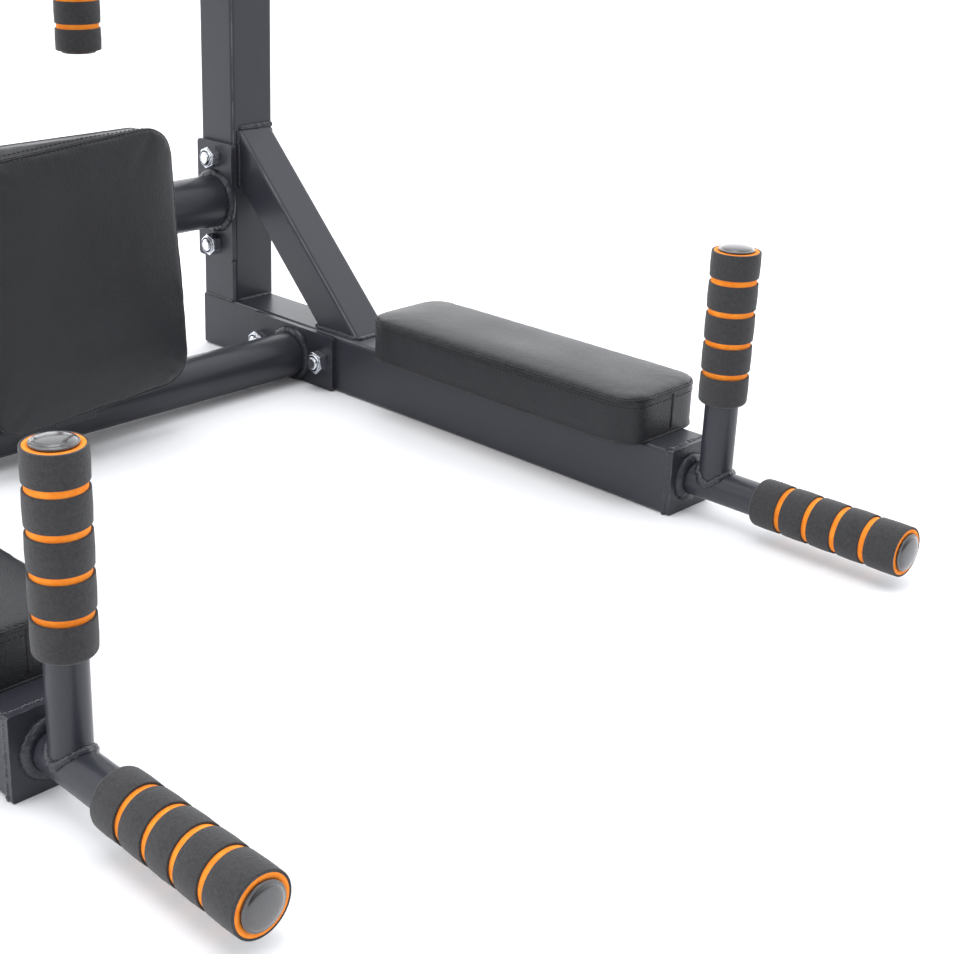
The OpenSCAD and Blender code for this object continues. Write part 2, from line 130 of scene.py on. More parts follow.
soft_lamp("lamp_left", (-2.8, 0.3, 1.5), (0, 0, 0.3), 1.8, 34)
soft_lamp("lamp_above", (-0.3, 0.1, 3.2), (0, 0, 0.2), 1.8, 34)
soft_lamp("lamp_front", (-1.9, -2.3, 1.9), (0, 0, 0.3), 0.4, 7)


# ---------- Steel frame ----------
# Square and round steel tube with welded plates, all in one semi-matt graphite powder coat.
# The coat has a fine skin, thins a little over the rolled edges and holds some dust. The lighter rolled
# edges are partly that wear and partly a painted highlight, and the square tubes also get a painted
# highlight line along their corners.
def node_group(name, numbers, outputs):
    group = bpy.data.node_groups.new(name, "ShaderNodeTree")
    for label, value in numbers.items():
        socket = group.interface.new_socket(label, in_out="INPUT", socket_type="NodeSocketFloat")
        socket.default_value = value
    for label in outputs:
        group.interface.new_socket(label, in_out="OUTPUT", socket_type="NodeSocketFloat")
    return group, group.nodes.new("NodeGroupInput"), group.nodes.new("NodeGroupOutput")


def math_node(tree, how, first, second):
    made = tree.nodes.new("ShaderNodeMath")
    made.operation = how
    made.use_clamp = how == "MULTIPLY_ADD"
    for socket, value in zip(made.inputs, (first, second)):
        if isinstance(value, (int, float)):
            socket.default_value = value
        else:
            tree.links.new(value, socket)
    return made.outputs[0]


def noise_node(tree, scale, detail, roughness=0.55):
    made = tree.nodes.new("ShaderNodeTexNoise")
    place = tree.nodes.new("ShaderNodeTexCoord")
    tree.links.new(place.outputs["Object"], made.inputs["Vector"])
    made.inputs["Detail"].default_value = detail
    made.inputs["Roughness"].default_value = roughness
    if isinstance(scale, (int, float)):
        made.inputs["Scale"].default_value = scale
    else:
        tree.links.new(scale, made.inputs["Scale"])
    return made.outputs["Fac"]


def ramp_node(tree, value, low, high):
    made = tree.nodes.new("ShaderNodeMapRange")
    made.inputs["From Min"].default_value = low
    made.inputs["From Max"].default_value = high
    tree.links.new(value, made.inputs["Value"])
    return made.outputs["Result"]


# Grain: two sizes of noise added together, for any surface with a fine skin.
grain_numbers = {"Fine": 900, "Coarse": 90, "Coarse share": 0.3}
grain_group, grain_in, grain_out = node_group("skin_grain", grain_numbers, ["Height"])
grain_fine = noise_node(grain_group, grain_in.outputs["Fine"], 2)
grain_coarse = noise_node(grain_group, grain_in.outputs["Coarse"], 3)
grain_share = math_node(grain_group, "MULTIPLY", grain_coarse, grain_in.outputs["Coarse share"])
grain_group.links.new(math_node(grain_group, "ADD", grain_fine, grain_share), grain_out.inputs["Height"])

# Edge wear and painted highlight: how far the rounded-over normal leans from the true one, broken up by
# noise. Convex edges turn lighter, partly as worn coat and partly as a painted highlight.
wear_highlight_group, wear_highlight_in, wear_highlight_out = node_group("edge_wear_and_highlight", {"Breakup": 60, "Amount": 1}, ["Mask"])
wear_highlight_bevel = wear_highlight_group.nodes.new("ShaderNodeBevel")
wear_highlight_bevel.samples = 4
wear_highlight_bevel.inputs["Radius"].default_value = 0.0012
wear_highlight_true = wear_highlight_group.nodes.new("ShaderNodeNewGeometry")
wear_highlight_dot = wear_highlight_group.nodes.new("ShaderNodeVectorMath")
wear_highlight_dot.operation = "DOT_PRODUCT"
wear_highlight_group.links.new(wear_highlight_bevel.outputs["Normal"], wear_highlight_dot.inputs[0])
wear_highlight_group.links.new(wear_highlight_true.outputs["Normal"], wear_highlight_dot.inputs[1])
wear_highlight_edge = ramp_node(wear_highlight_group, wear_highlight_dot.outputs["Value"], 0.995, 0.9)
wear_highlight_spots = ramp_node(wear_highlight_group, noise_node(wear_highlight_group, wear_highlight_in.outputs["Breakup"], 4), 0.42, 0.62)
wear_highlight_mask = math_node(wear_highlight_group, "MULTIPLY", wear_highlight_edge, wear_highlight_spots)
wear_highlight_group.links.new(math_node(wear_highlight_group, "MULTIPLY", wear_highlight_mask, wear_highlight_in.outputs["Amount"]),
                     wear_highlight_out.inputs["Mask"])

# Cloud: a soft, slow change over a surface, for dust and for uneven colour.
cloud_group, cloud_in, cloud_out = node_group("cloud", {"Size": 9}, ["Mask"])
cloud_noise = noise_node(cloud_group, cloud_in.outputs["Size"], 5)
cloud_group.links.new(ramp_node(cloud_group, cloud_noise, 0.3, 0.75), cloud_out.inputs["Mask"])


def place_group(tree, group, **numbers):
    made = tree.nodes.new("ShaderNodeGroup")
    made.node_tree = group
    for label, value in numbers.items():
        made.inputs[label.replace("_", " ")].default_value = value
    return made.outputs[0]


def blend_colours(tree, mask, first, second):
    made = tree.nodes.new("ShaderNodeMix")
    made.data_type = "RGBA"
    tree.links.new(mask, made.inputs["Factor"])
    for socket, value in ((made.inputs["A"], first), (made.inputs["B"], second)):
        if isinstance(value, tuple):
            socket.default_value = (*value, 1)
        else:
            tree.links.new(value, socket)
    return made.outputs["Result"]


def new_finish(name, roughness, specular=0.5, metal=0.0):
    finish = bpy.data.materials.new(name)
    finish.use_nodes = True
    shader = finish.node_tree.nodes["Principled BSDF"]
    shader.inputs["Roughness"].default_value = roughness
    shader.inputs["Specular IOR Level"].default_value = specular
    shader.inputs["Metallic"].default_value = metal
    return finish, finish.node_tree, shader


def add_bump(tree, shader, height, depth, strength=1.0):
    bump = tree.nodes.new("ShaderNodeBump")
    bump.inputs["Distance"].default_value = depth
    bump.inputs["Strength"].default_value = strength
    tree.links.new(height, bump.inputs["Height"])
    tree.links.new(bump.outputs["Normal"], shader.inputs["Normal"])


def add_grain(tree, shader, fine, coarse, share, depth, strength=1.0):
    """A fine skin over a whole finish, as a shallow bump."""
    grain = place_group(tree, grain_group, Fine=fine, Coarse=coarse, Coarse_share=share)
    add_bump(tree, shader, grain, depth, strength)


def mottle(tree, shader, size, dark, light):
    """Colours a finish with a slow change between two shades."""
    cloud = place_group(tree, cloud_group, Size=size)
    tree.links.new(blend_colours(tree, cloud, dark, light), shader.inputs["Base Color"])


def painted_corner_highlight(tree):
    """A painted highlight: a narrow light line along a square tube's rolled corners, where its skin faces
    half way to X.
    """
    skin = tree.nodes.new("ShaderNodeNewGeometry")
    parts = tree.nodes.new("ShaderNodeSeparateXYZ")
    tree.links.new(skin.outputs["Normal"], parts.inputs[0])
    squared = math_node(tree, "MULTIPLY", parts.outputs["X"], parts.outputs["X"])
    rest = math_node(tree, "SUBTRACT", 1, squared)
    line = ramp_node(tree, math_node(tree, "MULTIPLY", squared, rest), 0.2, 0.25)
    return math_node(tree, "MULTIPLY", line, ramp_node(tree, noise_node(tree, 45, 4), 0.3, 0.6))


def steel_finish(name, colour, worn_and_highlight_colour, roughness, skin_depth, square=False):
    finish, tree, shader = new_finish(name, roughness, specular=0.26)
    shader.inputs["Coat Weight"].default_value = 0.28
    shader.inputs["Coat Roughness"].default_value = 0.22
    # Rolled edges turn lighter: partly worn coat, partly a painted highlight.
    wear_and_highlight = place_group(tree, wear_highlight_group, Breakup=70, Amount=0.7)
    cloud = place_group(tree, cloud_group, Size=7)
    darker = tuple(0.86 * part for part in colour)
    body = blend_colours(tree, cloud, darker, colour)
    body = blend_colours(tree, wear_and_highlight, body, worn_and_highlight_colour)
    # Square tubes also get a painted highlight line along their rolled corners.
    if square:
        body = blend_colours(tree, painted_corner_highlight(tree), body, worn_and_highlight_colour)
    tree.links.new(body, shader.inputs["Base Color"])
    rough = tree.nodes.new("ShaderNodeMapRange")
    rough.inputs["To Min"].default_value = roughness - 0.06
    rough.inputs["To Max"].default_value = roughness + 0.08
    tree.links.new(cloud, rough.inputs["Value"])
    tree.links.new(rough.outputs["Result"], shader.inputs["Roughness"])
    add_grain(tree, shader, 1100, 160, 0.8, skin_depth)
    return finish


graphite = (0.031, 0.0325, 0.043)
coat_rough = 0.42
coat_skin = 0.00012
powder_coat = steel_finish("powder_coat", graphite, (0.12, 0.124, 0.145), coat_rough, coat_skin)
# tube_coat carries the painted corner highlight lines and a slightly lighter edge colour.
tube_coat = steel_finish("tube_coat", graphite, (0.13, 0.134, 0.155), coat_rough, coat_skin, square=True)
square_tubes = ("upright", "arm", "brace", "top")
for node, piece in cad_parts.items():
    if piece.data.materials[0].name.startswith("frame_steel"):
        piece.data.materials[0] = tube_coat if node.split("_")[0] in square_tubes else powder_coat


# ---------- Weld beads ----------
# Every steel joint has a run of weld: overlapping drops laid side by side along the seam,
# painted with the frame. The beads stand a little proud and shine more than the flat tube.
random.seed(12)
# The beads' edges turn lighter than the frame's: partly worn coat, partly a painted highlight.
weld_coat = steel_finish("weld_coat", (0.032, 0.0335, 0.044), (0.2, 0.205, 0.225), 0.27, 0.0003)


def finish_piece(name, bm, finish, stands_for=(), smooth=True):
    mesh = bpy.data.meshes.new(name)
    bm.to_mesh(mesh)
    bm.free()
    for face in mesh.polygons:
        face.use_smooth = smooth
    mesh.materials.append(finish)
    piece = bpy.data.objects.new(name, mesh)
    bpy.context.scene.collection.objects.link(piece)
    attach(piece, "root")
    if stands_for:
        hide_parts(*stands_for)
    return piece


def lay_bead(bm, route, size, closed=False, rough=0.16, pitch=0.36, floor_z=None, wall_y=None):
    """Runs one bead along a polyline: round rings a ripple apart, joined into a lumpy rope.

    floor_z and wall_y are where a bead was ground flat, so that the station stands and hangs true."""
    bead = bmesh.new()
    legs = list(zip(route, route[1:] + route[:1] if closed else route[1:]))
    stations = []
    for start, end in legs:
        run = end - start
        count = max(1, round(run.length / (pitch * size)))
        stations += [(start + run * (i / count), run.normalized()) for i in range(count)]
    if not closed:
        stations.append((route[-1], legs[-1][1] - legs[-1][0]))
    swell = 1.0
    rings = []
    for i, (spot, way) in enumerate(stations):
        swell += 0.3 * (1 - swell) + random.uniform(-rough, rough) * 0.6
        ripple = swell + rough * (0.4 - (i % 3) * 0.3)
        if not closed and i in (0, len(stations) - 1):
            ripple *= 0.5
        spin = Matrix.Rotation(0.45, 4, "Y") @ Matrix.Diagonal((size * ripple, size * ripple, 1, 1))
        place = Matrix.Translation(spot) @ way.to_track_quat("Z", "Y").to_matrix().to_4x4() @ spin
        ring = bmesh.ops.create_circle(bead, cap_ends=False, segments=9, radius=1, matrix=place)["verts"]
        rings.append(list({edge for vert in ring for edge in vert.link_edges}))
    pairs = list(zip(rings, rings[1:] + rings[:1] if closed else rings[1:]))
    for first, second in pairs:
        bmesh.ops.bridge_loops(bead, edges=first + second)
    if not closed:
        bmesh.ops.holes_fill(bead, edges=rings[0] + rings[-1], sides=0)
    bmesh.ops.recalc_face_normals(bead, faces=bead.faces)
    for vert in bead.verts:
        if floor_z is not None:
            vert.co.z = max(vert.co.z, floor_z)
        if wall_y is not None:
            vert.co.y = min(vert.co.y, wall_y)
    pour(bead, bm)


def pour(part, whole):
    """Moves everything in one bmesh into another."""
    mesh = bpy.data.meshes.new("poured")
    part.to_mesh(mesh)
    part.free()
    whole.from_mesh(mesh)
    bpy.data.meshes.remove(mesh)


def ring_route(centre, axis, radius, steps=28):
    turn = Vector(axis).to_track_quat("Z", "Y")
    return [centre + turn @ Vector((radius * math.cos(math.tau * i / steps),
                                    radius * math.sin(math.tau * i / steps), 0)) for i in range(steps)]


def saddle_route(centre, radius, tube_r, tube_axis, up, steps=28):
    """The seam where an upright round tube meets a level one that lies along X or Y."""
    route = []
    for i in range(steps):
        x = radius * math.cos(math.tau * i / steps)
        y = radius * math.sin(math.tau * i / steps)
        across = x if tube_axis == "Y" else y
        route.append(centre + Vector((x, y, up * math.sqrt(max(tube_r ** 2 - across ** 2, 0)))))
    return route


def brace_seams(bm, brace, corner_y, corner_z, up):
    """The seams round both ends of a slanting brace, whose corner is where post and arm meet."""
    low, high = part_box(brace)
    foot = (high.x - low.x) * math.sqrt(2)
    tip_y = low.y
    tip_z = high.z if up > 0 else low.z
    inner_y = tip_y + foot
    inner_z = tip_z - foot * up
    side_bead = 0.0026
    end_bead = 0.003
    for x in (low.x, high.x):
        on_post = [Vector((x, corner_y, tip_z - end_bead * up)), Vector((x, corner_y, inner_z))]
        on_arm = [Vector((x, tip_y + end_bead, corner_z)), Vector((x, inner_y, corner_z))]
        lay_bead(bm, on_post, side_bead)
        lay_bead(bm, on_arm, side_bead)
    for y, z in ((corner_y, tip_z), (corner_y, inner_z), (tip_y, corner_z), (inner_y, corner_z)):
        lay_bead(bm, [Vector((low.x, y, z)), Vector((high.x, y, z))], end_bead)


edge_r = 0.004
flush_bead = 0.0010
for side in ("left", "right"):
    low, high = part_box("upright_" + side)
    bm = bmesh.new()
    for level in (low.z, high.z):
        west, east = low.x + edge_r, high.x - edge_r
        lay_bead(bm, [Vector((west, low.y, level)), Vector((east, low.y, level))], 0.0028)
        for x in (low.x, high.x):
            flank = [Vector((x, low.y + edge_r, level)), Vector((x, high.y - edge_r, level))]
            lay_bead(bm, flank, flush_bead)
        rear_y = high.y - 0.0008
        rear = [Vector((west, rear_y, level)), Vector((east, rear_y, level))]
        lay_bead(bm, rear, flush_bead, wall_y=high.y)
    brace_seams(bm, "brace_" + side, low.y, low.z, 1)
    brace_seams(bm, "top_brace_" + side, low.y, high.z, -1)
    plate_low, plate_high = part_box("arm_end_plate_" + side)
    rim_r = 0.0012
    seam_y = plate_high.y
    west, east = plate_low.x + rim_r, plate_high.x - rim_r
    south, north = plate_low.z + rim_r, plate_high.z - rim_r
    rim = [Vector((west, seam_y, south)), Vector((west, seam_y, north)), Vector((east, seam_y, north)),
           Vector((east, seam_y, south))]
    lay_bead(bm, rim, 0.0019, closed=True, rough=0.28, floor_z=plate_low.z)
    finish_piece("welds_frame_" + side, bm, weld_coat)

    bm = bmesh.new()
    stub_low, stub_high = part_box("level_handle_" + side)
    post_low, post_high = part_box("handle_post_" + side)
    stub_r = (stub_high.x - stub_low.x) / 2
    stub_centre = Vector(((stub_low.x + stub_high.x) / 2, plate_low.y, (stub_low.z + stub_high.z) / 2))
    lay_bead(bm, ring_route(stub_centre, (0, -1, 0), stub_r + 0.0016), 0.0052, closed=True, rough=0.1)
    post_centre = Vector((stub_centre.x, (post_low.y + post_high.y) / 2, stub_centre.z))
    post_seam = saddle_route(post_centre, (post_high.x - post_low.x) / 2, stub_r, "Y", 1)
    lay_bead(bm, post_seam, 0.003, closed=True, rough=0.24)
    finish_piece("welds_handles_" + side, bm, weld_coat)

bm = bmesh.new()
ground_off = 0.0005
for tube in ("upper", "middle", "lower"):
    low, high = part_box(tube + "_cross_tube")
    for x in (low.x, high.x):
        centre = Vector((x, (low.y + high.y) / 2, (low.z + high.z) / 2))
        tube_seam = ring_route(centre, (1, 0, 0), (high.z - low.z) / 2 + 0.001, steps=40)
        lay_bead(bm, tube_seam, 0.0048, closed=True, floor_z=ground_off, wall_y=cad_box[1].y - ground_off)
finish_piece("welds_cross_tubes", bm, weld_coat)

bm = bmesh.new()
tube_low, tube_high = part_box("middle_cross_tube")
tube_y = (tube_low.y + tube_high.y) / 2
tube_z = (tube_low.z + tube_high.z) / 2
for side in ("left", "right"):
    low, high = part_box("hanging_handle_" + side)
    centre = Vector(((low.x + high.x) / 2, tube_y, tube_z))
    handle_seam = saddle_route(centre, (high.x - low.x) / 2, (tube_high.z - tube_low.z) / 2, "X", -1)
    lay_bead(bm, handle_seam, 0.003, closed=True)
    low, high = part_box("pullup_bar")
    arm_low, arm_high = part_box("top_arm_" + side)
    for x in (arm_low.x, arm_high.x):
        centre = Vector((x, (low.y + high.y) / 2, (low.z + high.z) / 2))
        lay_bead(bm, ring_route(centre, (1, 0, 0), (high.z - low.z) / 2 + 0.0005), 0.0034, closed=True)
finish_piece("welds_upper_handles", bm, weld_coat)

bm = bmesh.new()
stand_w = 0.02
stand_low, stand_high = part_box("back_standoffs")
for x in (stand_low.x, stand_low.x + stand_w, stand_high.x - stand_w, stand_high.x):
    foot = Vector((x, stand_low.y + 0.003, stand_low.z + 0.003))
    head = Vector((x, stand_low.y + 0.0005, stand_high.z - 0.003))
    lay_bead(bm, [foot, head], 0.0024)
for x in (stand_low.x + stand_w / 2, stand_high.x - stand_w / 2):
    for z in (stand_low.z, stand_high.z):
        seam_y = stand_high.y - 0.0045
        lay_bead(bm, [Vector((x - 0.008, seam_y, z)), Vector((x + 0.008, seam_y, z))], 0.0026)
finish_piece("welds_back_rest", bm, weld_coat)


# ---------- Foam grips ----------
# Two-layer foam sleeves pushed over the handle tubes. The black outer layer is cut through by
# grooves that show the coloured layer. Its inner end is rounded and closes over the colour.
def lathe(bm, outline, place, steps=96):
    """Spins a closed outline of (radius, height) points about Z and puts the result in place."""
    turned = bmesh.new()
    ring = [turned.verts.new((radius, 0, height)) for radius, height in outline]
    edges = [turned.edges.new((ring[i - 1], ring[i])) for i in range(len(ring))]
    bmesh.ops.spin(turned, geom=ring + edges, cent=(0, 0, 0), axis=(0, 0, 1), dvec=(0, 0, 0),
                   angle=math.tau, steps=steps, space=Matrix.Identity(4), use_merge=True,
                   use_normal_flip=False, use_duplicate=False)
    bmesh.ops.remove_doubles(turned, verts=turned.verts, dist=1e-6)
    bmesh.ops.recalc_face_normals(turned, faces=turned.faces)
    bmesh.ops.transform(turned, matrix=place, verts=turned.verts)
    pour(turned, bm)


def end_place(node, direction):
    """A frame on the middle of a node's end, with Z pointing out along direction."""
    low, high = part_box(node)
    direction = Vector(direction)
    half = Vector([(high[i] - low[i]) / 2 * direction[i] for i in range(3)])
    turn = direction.to_track_quat("Z", "Y").to_matrix().to_4x4()
    return Matrix.Translation((low + high) / 2 + half) @ turn


def arc(centre_r, centre_z, radius, start, end, steps=4):
    return [(centre_r + radius * math.cos(math.radians(start + (end - start) * i / steps)),
             centre_z + radius * math.sin(math.radians(start + (end - start) * i / steps)))
            for i in range(steps + 1)]


foam_finish, foam_tree, foam_shader = new_finish("black_foam", 0.85, specular=0.25)
foam_cloud = place_group(foam_tree, cloud_group, Size=60)
foam_grain = place_group(foam_tree, grain_group, Fine=1500, Coarse=500, Coarse_share=0.9)
foam_base = blend_colours(foam_tree, foam_cloud, (0.020, 0.020, 0.0215), (0.032, 0.032, 0.034))
foam_pores = ramp_node(foam_tree, foam_grain, 0.6, 1.3)
foam_tree.links.new(blend_colours(foam_tree, foam_pores, foam_base, (0.052, 0.052, 0.055)),
                    foam_shader.inputs["Base Color"])
foam_shader.inputs["Sheen Weight"].default_value = 0.15
foam_shader.inputs["Sheen Roughness"].default_value = 0.5
add_bump(foam_tree, foam_shader, foam_grain, 0.0005, 0.7)

colour_finish, colour_tree, colour_shader = new_finish("coloured_foam", 0.75, specular=0.25)
mottle(colour_tree, colour_shader, 120, (0.86, 0.21, 0.012), (1.0, 0.33, 0.035))
add_grain(colour_tree, colour_shader, 1500, 500, 0.5, 0.0003, 0.5)

skin = 0.0014
core_wall = 0.0041
core_short = 0.004
groove = 0.0044
lip = 0.0005
chamfer = 0.0032
belly = 0.00025
sunk = 0.0002
core_rim = 0.0003
post_cut = (0.0215, 0.024)
level_cut = (0.0255, 0.023)
grips = [("post_grip", "grip_cores", (0, 0, 1), (0, 0, 1), 4, post_cut),
         ("level_grip", "grip_cores", (0, -1, 0), (0, -1, 0), 4, level_cut),
         ("hanging_grip", "hanging_cores", (0, 0, -1), (0, 0, -1), 4, post_cut),
         ("bar_grip", "bar_cores", (-1, 0, 0), (1, 0, 0), 7, post_cut)]
core_bms = {"grip_cores": bmesh.new(), "hanging_cores": bmesh.new(), "bar_cores": bmesh.new()}
for grip, core, left_way, right_way, grooves, (first, pitch) in grips:
    for side, way in (("left", left_way), ("right", right_way)):
        node = grip + "_" + side
        low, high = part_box(node)
        place = end_place(node, way)
        length = abs((high - low).dot(Vector(way)))
        outer = min(high[i] - low[i] for i in range(3)) / 2
        core_r = outer - skin
        tube_r = core_r - core_wall
        core_end = core_short - length
        bm = bmesh.new()
        middle = [-first - i * pitch for i in range(grooves)]
        tops = [0] + [spot - groove / 2 for spot in middle]
        lows = [spot + groove / 2 for spot in middle]
        for top, bottom in zip(tops, lows):
            outline = [(core_r - sunk, bottom)] + arc(outer - lip, bottom + lip, lip, -90, 0)
            outline.append((outer + belly, (top + bottom) / 2))
            outline += arc(outer - lip, top - lip, lip, 0, 90) + [(core_r - sunk, top)]
            lathe(bm, outline, place)
        last = tops[-1]
        outline = [(tube_r, -length), (outer - chamfer, -length)]
        outline += arc(outer - chamfer, chamfer - length, chamfer, -90, 0, 6)
        outline += [(outer + belly, (last - length) / 2)] + arc(outer - lip, last - lip, lip, 0, 90)
        outline += [(core_r - sunk, last), (core_r - sunk, core_end), (tube_r, core_end)]
        lathe(bm, outline, place)
        bmesh.ops.recalc_face_normals(bm, faces=bm.faces)
        finish_piece(node + "_foam", bm, foam_finish, stands_for=[node])
        outline = [(tube_r, 0), (core_r - core_rim, 0), (core_r, -core_rim)]
        outline += [(core_r, core_end), (tube_r, core_end)]
        lathe(core_bms[core], outline, place)
for core, bm in core_bms.items():
    bmesh.ops.recalc_face_normals(bm, faces=bm.faces)
    finish_piece(core + "_foam", bm, colour_finish, stands_for=[core])


# ---------- End caps ----------
# Moulded caps of glossy black plastic, pressed into the tube ends. The handle caps have a thin
# flange and a low dome.
gloss_finish, gloss_tree, gloss_shader = new_finish("gloss_cap", 0.2, specular=0.6)
mottle(gloss_tree, gloss_shader, 45, (0.02, 0.02, 0.022), (0.05, 0.05, 0.055))
gloss_shader.inputs["Coat Weight"].default_value = 0.4
gloss_shader.inputs["Coat Roughness"].default_value = 0.08
gloss_shader.inputs["IOR"].default_value = 1.6
add_grain(gloss_tree, gloss_shader, 400, 60, 1.5, 0.00012, 0.6)

plug_length = 0.014
cap_over = 0.0008
cap_wall = 0.0022


def cap_outline(tube_r):
    """A cap seen from the side, with its plug inside the tube below height 0."""
    radius = tube_r + cap_over
    plug_r = tube_r - cap_wall
    flange = 0.0016
    dome = 0.0028
    lip = 0.0005
    edge = 0.0002
    outline = [(0, -plug_length), (plug_r, -plug_length), (plug_r, 0), (radius - edge, 0), (radius, edge)]
    outline += arc(radius - lip, flange - lip, lip, 0, 90)
    steps = 14
    for i in range(1, steps + 1):
        turn = math.pi / 2 * i / steps
        outline.append(((radius - flange) * math.cos(turn), flange + dome * math.sin(turn)))
    return outline


bm = bmesh.new()
for grip, way in (("handle_post", (0, 0, 1)), ("level_handle", (0, -1, 0))):
    for side in ("left", "right"):
        low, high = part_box(grip + "_" + side)
        tube_r = min(high[i] - low[i] for i in range(3)) / 2
        lathe(bm, cap_outline(tube_r), end_place(grip + "_" + side, way))
bmesh.ops.recalc_face_normals(bm, faces=bm.faces)
finish_piece("handle_end_caps", bm, gloss_finish, stands_for=["handle_caps"])

bm = bmesh.new()
low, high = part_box("pullup_bar")
for way in ((-1, 0, 0), (1, 0, 0)):
    lathe(bm, cap_outline((high.z - low.z) / 2), end_place("pullup_bar", way))
bmesh.ops.recalc_face_normals(bm, faces=bm.faces)
finish_piece("bar_end_caps", bm, gloss_finish, stands_for=["bar_caps"])

bm = bmesh.new()
flat_cap = 0.0025
for side in ("left", "right"):
    low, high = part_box("hanging_handle_" + side)
    tube_r = (high.x - low.x) / 2
    plug_r = tube_r - cap_wall
    outline = [(0, -plug_length), (plug_r, -plug_length), (plug_r, 0), (tube_r + cap_over, 0)]
    outline += arc(tube_r, flat_cap - cap_over, cap_over, 0, 90) + [(0, flat_cap)]
    lathe(bm, outline, end_place("hanging_handle_" + side, (0, 0, -1)))
bmesh.ops.recalc_face_normals(bm, faces=bm.faces)
finish_piece("hanging_end_caps", bm, gloss_finish, stands_for=["hanging_caps"])

matt_finish, matt_tree, matt_shader = new_finish("matt_plug", 0.5)
mottle(matt_tree, matt_shader, 30, (0.018, 0.018, 0.019), (0.03, 0.03, 0.032))
add_grain(matt_tree, matt_shader, 1300, 300, 0.4, 0.0002)
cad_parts["tube_plugs"].data.materials[0] = matt_finish


# ---------- Zinc fasteners ----------
# Hexagon bolts, washers and locking nuts with a nylon ring, all bright zinc plated. The bolts
# go through the tubes from outside, and their thread ends stand proud of the nuts inside.
zinc_finish, zinc_tree, zinc_shader = new_finish("bright_zinc", 0.24, metal=1.0)
mottle(zinc_tree, zinc_shader, 180, (0.55, 0.58, 0.63), (0.86, 0.89, 0.94))
add_grain(zinc_tree, zinc_shader, 900, 260, 1, 0.0002)
nylon_finish, nylon_tree, nylon_shader = new_finish("nylon_ring", 0.5)
mottle(nylon_tree, nylon_shader, 90, (0.03, 0.035, 0.05), (0.05, 0.06, 0.08))
for node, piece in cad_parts.items():
    if piece.data.materials[0].name.startswith("zinc_steel"):
        piece.data.materials[0] = zinc_finish

thread_r = 0.006
across_flats = 0.019
nut_h = 0.010
collar_h = 0.003
plate_t = 0.005
head_h = 0.0075
head_out = 0.0525
shank_length = 0.0575
bolt_offset = 0.0435
thread_pitch = 0.00175


def ease(bm, edges, offset, segments):
    """Rounds or chamfers edges by an offset."""
    bmesh.ops.bevel(bm, geom=edges, offset=offset, offset_type="OFFSET", segments=segments, profile=0.5,
                    affect="EDGES", clamp_overlap=True, material=-1)


def hexagon(bm, across, height, place):
    """A hexagon block from Z = 0 up, with its edges eased."""
    block = bmesh.new()
    bmesh.ops.create_cone(block, cap_ends=True, segments=6, radius1=across / math.sqrt(3),
                          radius2=across / math.sqrt(3), depth=height,
                          matrix=place @ Matrix.Translation((0, 0, height / 2)))
    ease(block, block.edges[:], 0.0009, 3)
    bmesh.ops.recalc_face_normals(block, faces=block.faces)
    pour(block, bm)


bolt_spots = []
for tube, along in (("upper", "z"), ("middle", "z"), ("lower", "y")):
    low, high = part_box(tube + "_flanges")
    centre = (low + high) / 2
    for way in (-1, 1):
        spot = Vector((high.x, centre.y, centre.z))
        if along == "y":
            spot.y += bolt_offset * way
        else:
            spot.z += bolt_offset * way
        bolt_spots.append(spot)


def on_flange(spot, sign, depth, angle):
    """A place on one side frame's bolt line, with Z along the bolt: inwards if angle is -90."""
    face = Vector((sign * spot.x, spot.y, spot.z))
    turn = Matrix.Rotation(math.radians(angle * sign), 4, "Y")
    return Matrix.Translation(face + Vector((sign * depth, 0, 0))) @ turn


collar_r = across_flats / 2 - 0.001
collar_edge = 0.0009
collar_bore = thread_r + 0.0019
collar_top = nut_h + 0.0015
collar_foot = nut_h - 0.001
collar = [(collar_bore, collar_foot), (collar_r, collar_foot), (collar_r, collar_top - collar_edge)]
collar += arc(collar_r - collar_edge, collar_top - collar_edge, collar_edge, 0, 90)
collar.append((collar_bore, collar_top))
tail = nut_h + collar_h
turns = round(tail / thread_pitch)
thread = [(0, 0)]
for i in range(turns):
    thread += [(thread_r - 0.0009, i * tail / turns), (thread_r, (i + 0.5) * tail / turns)]
thread += [(thread_r - 0.0011, tail), (0, tail)]
shank = [(0, -shank_length), (thread_r, -shank_length), (thread_r, 0.001), (0, 0.001)]

nuts = bmesh.new()
bolts = bmesh.new()
for spot in bolt_spots:
    for sign in (-1, 1):
        inward = on_flange(spot, sign, -plate_t, -90) @ Matrix.Rotation(random.uniform(0, 1), 4, "Z")
        hexagon(nuts, across_flats, nut_h, inward)
        lathe(nuts, collar, inward, 40)
        lathe(bolts, thread, inward, 40)
        outward = on_flange(spot, sign, head_out, 90) @ Matrix.Rotation(random.uniform(0, 1), 4, "Z")
        hexagon(bolts, across_flats, head_h, outward)
        lathe(bolts, shank, outward, 40)
bmesh.ops.recalc_face_normals(nuts, faces=nuts.faces)
bmesh.ops.recalc_face_normals(bolts, faces=bolts.faces)
finish_piece("lock_nuts", nuts, zinc_finish, stands_for=["flange_nuts"], smooth=False)
finish_piece("hex_bolts", bolts, zinc_finish, stands_for=["flange_bolts"], smooth=False)

rings = bmesh.new()
ring_in = thread_r + 0.0001
ring_out = ring_in + 0.0018
ring_top = nut_h + 0.0011
ring = [(ring_in, nut_h), (ring_out, nut_h), (ring_out, ring_top), (ring_in, ring_top)]
for spot in bolt_spots:
    for sign in (-1, 1):
        lathe(rings, ring, on_flange(spot, sign, -plate_t, -90), 32)
bmesh.ops.recalc_face_normals(rings, faces=rings.faces)
finish_piece("nut_nylon_rings", rings, nylon_finish)


